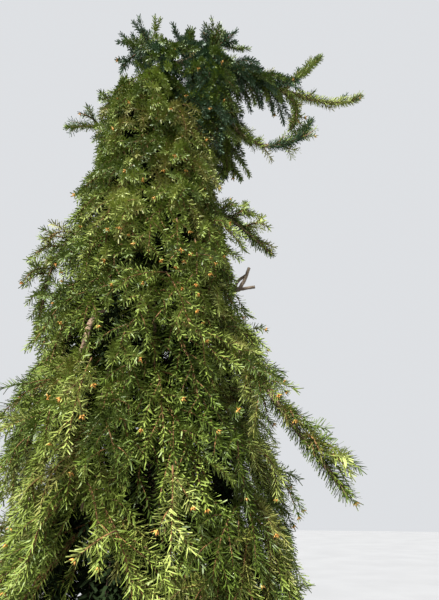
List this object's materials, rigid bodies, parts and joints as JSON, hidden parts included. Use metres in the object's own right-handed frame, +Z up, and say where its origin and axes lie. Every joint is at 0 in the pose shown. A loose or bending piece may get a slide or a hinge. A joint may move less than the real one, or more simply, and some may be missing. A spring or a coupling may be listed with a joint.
{
  "type": "weeping norway spruce tree",
  "caption": "Young weeping Norway spruce rooted in the ground: a slim leaning trunk wrapped in a column of hanging needled shoots, with a leader that nods over to one side.",
  "frame": {"origin": "middle of the flat cut under the trunk, at ground level", "axes": "+Z up along the trunk; +X to the side that the leader nods to; the front view looks along +Y"},
  "size_m": [1.1735, 0.89, 3.4433],
  "materials": {
    "bark": "rough scaly bark",
    "dead_wood": "weathered, bare",
    "needles": "waxy green needles"
  },
  "bodies": {
    "root": {"bough_crest": "bark", "bough_left_crest": "bark", "bough_left_front": "bark", "bough_left_high": "bark", "bough_low_right": "bark", "bough_right_front": "bark", "bough_right_high": "bark", "dead_limb": "dead_wood", "foliage_crest": "needles", "foliage_curtain_1": "needles", "foliage_curtain_2": "needles", "foliage_curtain_3": "needles", "foliage_curtain_4": "needles", "foliage_down_fork": "needles", "foliage_leader_tip": "needles", "foliage_left_crest": "needles", "foliage_left_front": "needles", "foliage_left_high": "needles", "foliage_left_spur": "needles", "foliage_low_right": "needles", "foliage_right_front": "needles", "foliage_right_high": "needles", "foliage_tier1_1": "needles", "foliage_tier1_2": "needles", "foliage_tier1_3": "needles", "foliage_tier1_4": "needles", "foliage_tier1_5": "needles", "foliage_tier2_1": "needles", "foliage_tier2_2": "needles", "foliage_tier2_3": "needles", "foliage_tier2_4": "needles", "foliage_tier2_5": "needles", "foliage_tier3_1": "needles", "foliage_tier3_2": "needles", "foliage_tier3_3": "needles", "foliage_tier3_4": "needles", "foliage_tier3_5": "needles", "foliage_tier4_1": "needles", "foliage_tier4_2": "needles", "foliage_tier4_3": "needles", "foliage_tier4_4": "needles", "foliage_tier5_1": "needles", "foliage_tier5_2": "needles", "foliage_tier5_3": "needles", "foliage_tier5_4": "needles", "foliage_tier6_1": "needles", "foliage_tier6_2": "needles", "foliage_tier6_3": "needles", "foliage_tier6_4": "needles", "foliage_tier7_1": "needles", "foliage_tier7_2": "needles", "foliage_tier7_3": "needles", "foliage_tier7_4": "needles", "foliage_tier8_1": "needles", "foliage_tier8_2": "needles", "foliage_tier8_3": "needles", "foliage_top_shoots": "needles", "foliage_up_fork": "needles", "leader": "bark", "trunk": "bark"}
  },
  "joints": []
}
